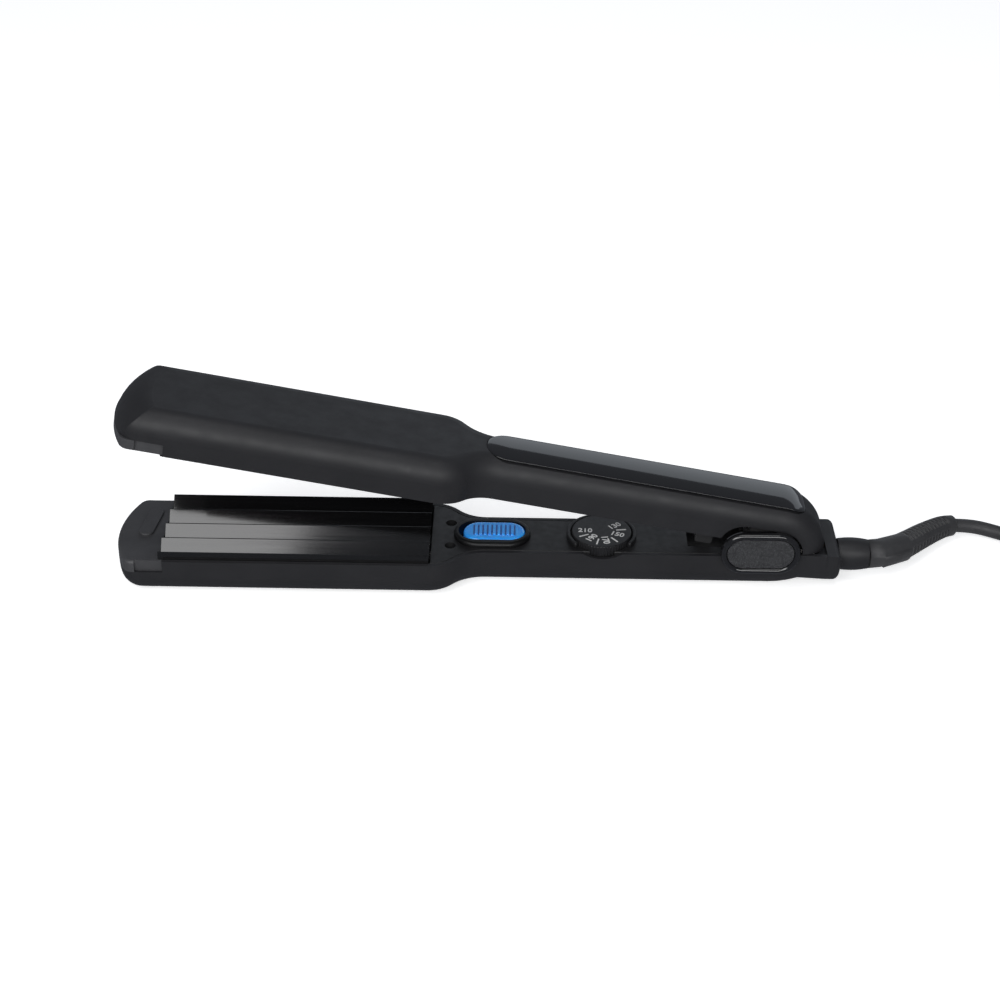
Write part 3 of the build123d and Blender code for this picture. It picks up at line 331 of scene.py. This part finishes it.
def loop_point(centre, degrees_round, column):
    """A control point of an end loop, a little outside it because the spline cuts inside."""
    reach = (OUTER_LOOP - PITCH * column) * 1.028
    angle = radians(degrees_round)
    return centre + reach * cos(angle), MIDDLE_Y + reach * sin(angle)


def run_point(end_x, end_angle, side, share, column):
    """A point on the straight run between the tie and an end loop."""
    middle = (NEAR + FAR) / 2
    start_x = middle + (TIE_REACH if end_x > middle else -TIE_REACH)
    start_y = MIDDLE_Y + side * (OUTER_WAIST - PITCH * column)
    x, y = loop_point(end_x, end_angle, column)
    return start_x + (x - start_x) * share, start_y + (y - start_y) * share


def hank_stations():
    """One turn: (place for a column, window, share of the window gone, height at the tie)."""
    turn = []
    for share in (1.0, 0.5, 0.0):
        turn.append((lambda c, s=share: run_point(NEAR, 90 - LEAVE, 1, s, c), 7, 0, 1 - share))
    for share in (0.0, 0.33, 0.66):
        turn.append((lambda c, s=share: run_point(FAR, 90 + LEAVE, 1, s, c), 6, share, 1 - share))
    half = (90 + LEAVE) / 4
    for step in range(8):
        angle = 90 + LEAVE - half * step
        turn.append((lambda c, a=angle: loop_point(FAR, a, c), 5 - step // 4, step % 4 / 4, 0))
    for share in (1.0, 0.66, 0.33, 0.0):
        turn.append((lambda c, s=share: run_point(FAR, -90 - LEAVE, -1, s, c), 3, 1 - share, 1 - share))
    for share in (0.0, 0.33, 0.66):
        turn.append((lambda c, s=share: run_point(NEAR, LEAVE - 90, -1, s, c), 2, share, 1 - share))
    for step in range(8):
        angle = 270 + LEAVE - half * step
        turn.append((lambda c, a=angle: loop_point(NEAR, a, c), 1 - step // 4, step % 4 / 4, 0))
    return turn


def hank_points():
    """The folded turns: each passes into the next slot a stage earlier than the turn before it."""
    points = []
    for turn in range(len(SLOTS) - 1):
        for place, window, share, lift in hank_stations():
            before = SLOTS[turn] if window >= turn else SLOTS[turn + 1]
            after = SLOTS[turn + 1]
            gone = share * share * (3 - 2 * share) if window == turn else 0
            column = before[0] + (after[0] - before[0]) * gone
            layer = before[1] + (after[1] - before[1]) * gone
            x, y = place(column)
            points.append((x, y, FLOOR_Z + PITCH * layer + TIE_LIFT * max(0.0, lift)))
    x, y = loop_point(NEAR, 90 - LEAVE, 0)
    points.append((x, y, FLOOR_Z + PITCH * 3))
    return points


def power_cord():
    route = ENTRY + hank_points() + EXIT
    cord = nurbs("mains_cord", [Vector(point) * MM for point in route], CORD_RADIUS)
    cord.data.materials.append(LOOKS["cord_rubber"])
    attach(cord, "cord_swivel")
    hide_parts("power_cord", "power_cord_tail", "cord_hank")


# ---- pieces that ride on the CAD bodies ---------------------------------------------------------
HINGE_Z, OPEN_ANGLE = 17.0, 10.35
HINGE = Matrix.Translation((0, 0, HINGE_Z * MM))
OPEN_TURN = HINGE @ Matrix.Rotation(radians(OPEN_ANGLE), 4, "Y") @ HINGE.inverted()


def piece(name, verts, faces, look, body, slot, *nodes, turn=None, flat=False):
    """A mesh in millimetres, riding on a body and standing in for the CAD nodes named."""
    mesh = bpy.data.meshes.new(name)
    shape = bmesh.new()
    rows = [shape.verts.new(Vector(vert) * MM) for vert in verts]
    for face in faces:
        shape.faces.new([rows[corner] for corner in face])
    bmesh.ops.remove_doubles(shape, verts=shape.verts, dist=1e-6)
    bmesh.ops.dissolve_degenerate(shape, edges=shape.edges, dist=1e-6)
    bmesh.ops.recalc_face_normals(shape, faces=shape.faces)
    if turn:
        shape.transform(turn)
    for face in shape.faces:
        face.smooth = not flat
    shape.to_mesh(mesh)
    shape.free()
    mesh.materials.append(LOOKS[look])
    made = bpy.data.objects.new(name, mesh)
    bpy.context.scene.collection.objects.link(made)
    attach(made, body)
    if nodes:
        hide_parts(*nodes)
    return made


def tube_faces(rings, around, closed_start=True, closed_end=True):
    """Quads between successive rings of the same number of points."""
    faces = []
    for ring in range(rings - 1):
        for step in range(around):
            after = (step + 1) % around
            low, high = ring * around, (ring + 1) * around
            faces.append((low + step, low + after, high + after, high + step))
    if closed_start:
        faces.append(tuple(range(around)))
    if closed_end:
        faces.append(tuple(range((rings - 1) * around, rings * around)))
    return faces


def boxes(spans):
    """Vertices and faces of plain boxes given by their opposite corners."""
    verts, faces = [], []
    for (x0, y0, z0), (x1, y1, z1) in spans:
        base = len(verts)
        verts += [(x, y, z) for z in (z0, z1) for x, y in ((x0, y0), (x1, y0), (x1, y1), (x0, y1))]
        faces += [tuple(base + corner for corner in face) for face in
                  ((0, 3, 2, 1), (4, 5, 6, 7), (0, 1, 5, 4), (1, 2, 6, 5), (2, 3, 7, 6), (3, 0, 4, 7))]
    return verts, faces


# ---- gloss inlay --------------------------------------------------------------------------------
INLAY_FRONT, INLAY_REAR, INLAY_HALF = -107.0, 14.0, 8.8
INLAY_FRONT_ROUND, INLAY_REAR_ROUND = 8.3, 5.5
HEEL_X, HEEL_Z, HEEL_RADIUS = 6.0, 16.0, 19.0
CROWN, LIP = 0.6, 0.985


def inlay_edge():
    """Plan outline of the inlay, counter-clockwise, with its round ends finely divided."""
    edge = []
    ends = [(INLAY_REAR, INLAY_REAR_ROUND, 0), (INLAY_FRONT, INLAY_FRONT_ROUND, 180)]
    for x, corner, start in ends:
        toward = 1 if start == 0 else -1
        for side in (-toward, toward):
            begin = {(1, -1): -90, (1, 1): 0, (-1, 1): 90, (-1, -1): 180}[(toward, side)]
            for step in range(13):
                angle = radians(begin + 7.5 * step)
                edge.append((x - toward * corner + corner * cos(angle),
                             side * (INLAY_HALF - corner) + corner * sin(angle)))
        run = 60
        for step in range(1, run):
            share = step / run
            inner = (INLAY_REAR - INLAY_REAR_ROUND, INLAY_FRONT + INLAY_FRONT_ROUND)
            first, last = inner if toward > 0 else inner[::-1]
            edge.append((first + (last - first) * share, toward * INLAY_HALF))
    return edge


def arm_top(x):
    """Height of the closed upper arm's top over its centre line."""
    return HEEL_Z + (HEEL_RADIUS ** 2 - max(0.0, x - HEEL_X) ** 2) ** 0.5


def gloss_inlay():
    """Crowned gloss strip with a fine bevel along its edge."""
    edge = inlay_edge()
    low_x, high_x = INLAY_FRONT + INLAY_FRONT_ROUND, INLAY_REAR - INLAY_REAR_ROUND
    verts = []
    levels = [(1.0, -0.5, 0), (1.0, -0.1, 0), (LIP, 0.02, 0)]
    levels += [(LIP * (1 - 0.1 * step), 0.02, 1) for step in range(1, 11)]
    for shrink, rise, crowned in levels:
        for x, y in edge:
            spine = min(max(x, low_x), high_x)
            px, py = spine + (x - spine) * shrink, y * shrink
            hump = CROWN * (1 - (shrink / LIP) ** 2) if crowned else 0
            verts.append((px, py, arm_top(px) + rise + hump))
    piece("gloss_strip", verts, tube_faces(len(levels), len(edge), True, False), "gloss",
          "upper_arm", "gloss", "gloss_inlay", turn=OPEN_TURN)


# ---- strain relief boot ---------------------------------------------------------------------------
BOOT_ROUTE = [(42.5, 0, 8.4), (49.3, 1.7, 8.3), (54.6, 5.0, 7.8), (59.8, 9.8, 7.2),
              (65.4, 15.4, 6.6), (71.1, 20.7, 6.0), (76.0, 24.4, 5.6), (80.4, 26.2, 5.2)]
BOOT_RADII = [5.45, 5.4, 5.3, 5.1, 4.9, 4.6, 4.3, 4.0]
BOOT_MOUTH = 2.4             # radius of the hole that the cord leaves by
SLOT_START, SLOT_PITCH, SLOT_WIDE, SLOT_DEEP, SLOTS_LONG = 17.2, 2.15, 1.0, 1.3, 12
TAB_START, TAB_END, TAB_HIGH = 4.5, 16.1, 0.55
STRIP = 58                   # degrees round from the top to the first strip that has no slots
PLAIN, TAB, GROOVE, ROUNDED, MOUTH = range(5)      # what the boot is like at a station


def boot_path(steps):
    """Points, directions and radii along the boot's centre line, evenly spaced."""
    nodes = [Vector(point) for point in BOOT_ROUTE]
    nodes = [nodes[0] - Vector((7, 0, 0))] + nodes + [nodes[-1] + Vector((6, 0.9, -0.6))]
    dense = []
    for first in range(len(BOOT_ROUTE) - 1):
        a, b, c, d = nodes[first:first + 4]
        for step in range(40):
            t = step / 40
            point = 0.5 * (2 * b + (c - a) * t + (2 * a - 5 * b + 4 * c - d) * t ** 2
                           + (3 * b - a - 3 * c + d) * t ** 3)
            dense.append((point, first + t))
    dense.append((nodes[-2], len(BOOT_ROUTE) - 1))
    lengths = [0.0]
    for before, after in zip(dense, dense[1:]):
        lengths.append(lengths[-1] + (after[0] - before[0]).length)
    found = []
    for want in steps:
        want = min(want, lengths[-1])
        spot = max(1, next(i for i, length in enumerate(lengths) if length >= want - 1e-9))
        share = (want - lengths[spot - 1]) / (lengths[spot] - lengths[spot - 1])
        before, after = dense[spot - 1], dense[spot]
        place = before[1] + (after[1] - before[1]) * share
        low = min(int(place), len(BOOT_RADII) - 2)
        radius = BOOT_RADII[low] + (BOOT_RADII[low + 1] - BOOT_RADII[low]) * (place - low)
        found.append((before[0].lerp(after[0], share), (after[0] - before[0]).normalized(), radius))
    return found, lengths[-1]


def boot():
    """Rubber boot: a smooth root with a flat tab, then four rows of flexing slots and a collar."""
    total = boot_path([0])[1]
    stations = [(0.0, PLAIN), (TAB_START, PLAIN), (TAB_START + 0.5, TAB), (TAB_END - 0.6, TAB),
                (TAB_END, PLAIN)]
    for slot in range(SLOTS_LONG):
        start = SLOT_START + SLOT_PITCH * slot
        stations += [(start, PLAIN), (start + 0.1, GROOVE)]
        stations += [(start + SLOT_WIDE - 0.1, GROOVE), (start + SLOT_WIDE, PLAIN)]
    stations += [(total - 3.2, PLAIN), (total - 0.7, PLAIN), (total, ROUNDED), (total, MOUTH)]
    angles = []
    for quarter in range(4):
        strip = STRIP + 90 * quarter
        angles += [strip - 15, strip - 5, strip + 5, strip + 15, strip + 17, strip + 29,
                   strip + 45, strip + 61, strip + 73]
    placed = boot_path([along for along, kind in stations])[0]
    verts = []
    for (along, kind), (middle, ahead, radius) in zip(stations, placed):
        side = Vector((0, 0, 1)).cross(ahead).normalized()
        over = ahead.cross(side)
        for angle in angles:
            reach = radius
            if kind == GROOVE and 16 < (angle - STRIP) % 90 < 74:
                reach -= SLOT_DEEP
            elif kind == TAB and 74 < angle < 140:
                reach += TAB_HIGH
            elif kind == ROUNDED:
                reach -= 0.5
            elif kind == MOUTH:
                reach = BOOT_MOUTH
            outward = cos(radians(angle)) * over - sin(radians(angle)) * side
            verts.append(middle + reach * outward)
    made = piece("ribbed_boot", verts, tube_faces(len(stations), len(angles)), "cord_rubber",
                 "cord_swivel", "cord_rubber", "strain_relief_boot", flat=True)
    for face in made.data.polygons:
        face.use_smooth = len(face.vertices) == 4


# ---- marks ----------------------------------------------------------------------------------------
DIAL_X, DIAL_Y, DIAL_HIGH = -58.5, 0.2, 16.7
DIAL_LABELS = [("210", 178), ("190", 232), ("170", 281), ("150", 340), ("130", 36)]
DIAL_TICKS = (206, 257, 308, 8)


def text_mesh(text, size):
    """Flat outline letters as a mesh, in millimetres, centred on the origin."""
    data = bpy.data.curves.new(text, "FONT")
    data.body = text
    data.size = size
    data.align_x, data.align_y = "CENTER", "CENTER"
    data.extrude = 0.04
    data.offset = 0.02 * size
    data.resolution_u = 4
    lettering = bpy.data.objects.new(text, data)
    mesh = lettering.to_mesh()
    verts = [vertex.co.copy() for vertex in mesh.vertices]
    faces = [tuple(face.vertices) for face in mesh.polygons]
    lettering.to_mesh_clear()
    bpy.data.objects.remove(lettering)
    bpy.data.curves.remove(data)
    return verts, faces


def dial_marks():
    """Radial temperatures and ticks printed on the dial."""
    verts, faces = [], []
    for text, angle in DIAL_LABELS:
        shape, outline = text_mesh(text, 3.6)
        upright = angle - 180 if 90 < angle < 270 else angle
        turn = Matrix.Rotation(radians(upright), 3, "Z")
        where = Vector((DIAL_X + 6.2 * cos(radians(angle)), DIAL_Y + 6.2 * sin(radians(angle)),
                        DIAL_HIGH + 0.03))
        base = len(verts)
        verts += [turn @ vert + where for vert in shape]
        faces += [tuple(base + corner for corner in face) for face in outline]
    for angle in DIAL_TICKS:
        tick, sides = boxes([((5.6, -0.28, -0.04), (9.4, 0.28, 0.04))])
        turn = Matrix.Rotation(radians(angle), 3, "Z")
        base = len(verts)
        verts += [turn @ Vector(vert) + Vector((DIAL_X, DIAL_Y, DIAL_HIGH + 0.03)) for vert in tick]
        faces += [tuple(base + corner for corner in face) for face in sides]
    piece("dial_marks", verts, faces, "print", "temperature_dial", "dial", flat=True)


# ---- slide button ---------------------------------------------------------------------------------
BUTTON_X, BUTTON_TOP, RIB_PITCH = -98.95, 17.0, 1.7


def button_groove_shade():
    """Darker blue slabs in the grooves between the ribs of the slide button: painted shade in the
    grooves.
    """
    spans = []
    for row in range(-5, 5):
        x = BUTTON_X + (row + 0.5) * RIB_PITCH
        # each thin slab sits in a groove just under the button top, darker than the button: painted
        # shade
        spans.append(((x - 0.34, -3.4, BUTTON_TOP - 0.55), (x + 0.34, 3.4, BUTTON_TOP - 0.42)))
    verts, faces = boxes(spans)
    piece("button_groove_shade", verts, faces, "groove_shade_blue", "power_button", "button", flat=True)


# ---- hinge caps -----------------------------------------------------------------------------------
CAP_LONG, CAP_HIGH = 29.6, 17.2
BEAD_WIDE, BEAD_HIGH, BEAD_FOOT, CAP_BACK = 2.3, 1.3, 14.2, 12.95


def oval(inset, depth):
    """Points of the hinge cap's outline, drawn in by an inset, at a depth across the iron."""
    reach = CAP_HIGH / 2 - inset
    half = (CAP_LONG - CAP_HIGH) / 2
    points = []
    for middle, start in ((half, -90), (-half, 90)):
        for step in range(25):
            angle = radians(start + 7.5 * step)
            points.append((middle + reach * cos(angle), depth, HINGE_Z + reach * sin(angle)))
    return points + [points[0]]


def oval_bead(name, profile, look, side, *nodes):
    """A bead of one profile, given as (inset, depth) pairs, all the way round the oval."""
    rings = list(zip(*(oval(inset, side * depth) for inset, depth in profile)))
    verts = [point for ring in rings for point in ring]
    faces = tube_faces(len(rings), len(profile), False, False)
    piece(name, verts, faces, look, "lower_arm", "gloss", *nodes)


def hinge_caps():
    """Half-round gloss ring on each hinge cap, and a light grey line inside the near one: a painted
    highlight round its panel.
    """
    bead = [(0, CAP_BACK), (0, BEAD_FOOT - 0.6)]
    for step in range(13):
        angle = radians(15 * step)
        bead.append((BEAD_WIDE / 2 * (1 - cos(angle)), BEAD_FOOT + BEAD_HIGH * sin(angle)))
    bead += [(BEAD_WIDE, BEAD_FOOT - 0.45), (BEAD_WIDE, CAP_BACK)]
    for side, name in ((-1, "near"), (1, "far")):
        oval_bead(f"{name}_cap_bead", bead, "gloss", side, f"{name}_badge_ring")
    # light grey ring just inside the near bead: painted highlight along the panel's edge
    line = [(2.75, 13.6), (2.75, 13.83), (3.0, 13.83), (3.0, 13.6)]
    oval_bead("cap_highlight_line", line, "highlight_line", -1)


# ---- studio -----------------------------------------------------------------------------------
def softbox(name, place, aim, size, power, color=(1, 1, 1)):
    data = bpy.data.lights.new(name, "AREA")
    data.shape = "RECTANGLE"
    data.size, data.size_y = size
    data.energy = power
    data.color = color
    lamp = bpy.data.objects.new(name, data)
    look = Vector(aim) - Vector(place)
    lamp.matrix_world = Matrix.Translation(place) @ look.to_track_quat("-Z", "Y").to_matrix().to_4x4()
    bpy.context.scene.collection.objects.link(lamp)


def studio():
    """White floor, dim grey room and soft boxes."""
    mesh = bpy.data.meshes.new("floor")
    mesh.from_pydata([(-6, -4, 0), (6, -4, 0), (6, 12, 0), (-6, 12, 0)], [], [(0, 1, 2, 3)])
    floor = bpy.data.objects.new("floor", mesh)
    bpy.context.scene.collection.objects.link(floor)
    s = Shader("studio_floor", (0.85, 0.85, 0.85), 0.9)
    s.surface.inputs["Emission Color"].default_value = (1, 1, 1, 1)
    s.surface.inputs["Emission Strength"].default_value = 0.55
    mesh.materials.append(s.material)
    floor.visible_glossy = False
    world = bpy.data.worlds.new("room")
    world.use_nodes = True
    world.node_tree.nodes["Background"].inputs["Color"].default_value = (0.62, 0.66, 0.74, 1)
    world.node_tree.nodes["Background"].inputs["Strength"].default_value = 0.26
    bpy.context.scene.world = world
    softbox("plate_box", (-0.62, -0.64, 0.90), (-0.2, 0, 0), (0.6, 0.5), 3.9)
    softbox("back_box", (0.6, 2.5, 0.85), (-0.05, 0, 0.04), (2.4, 1.2), 6.2, (0.86, 0.93, 1))
    softbox("front_box", (-0.1, -1.6, 1.0), (-0.1, 0, 0), (2.2, 0.6), 25)
    softbox("top_box", (-0.1, -0.1, 1.6), (-0.1, 0, 0), (0.9, 0.5), 4.2)
    bpy.context.scene.view_settings.view_transform = "Standard"


camera()
power_cord()
dress_cad_nodes()
gloss_inlay()
boot()
dial_marks()
button_groove_shade()
hinge_caps()
studio()
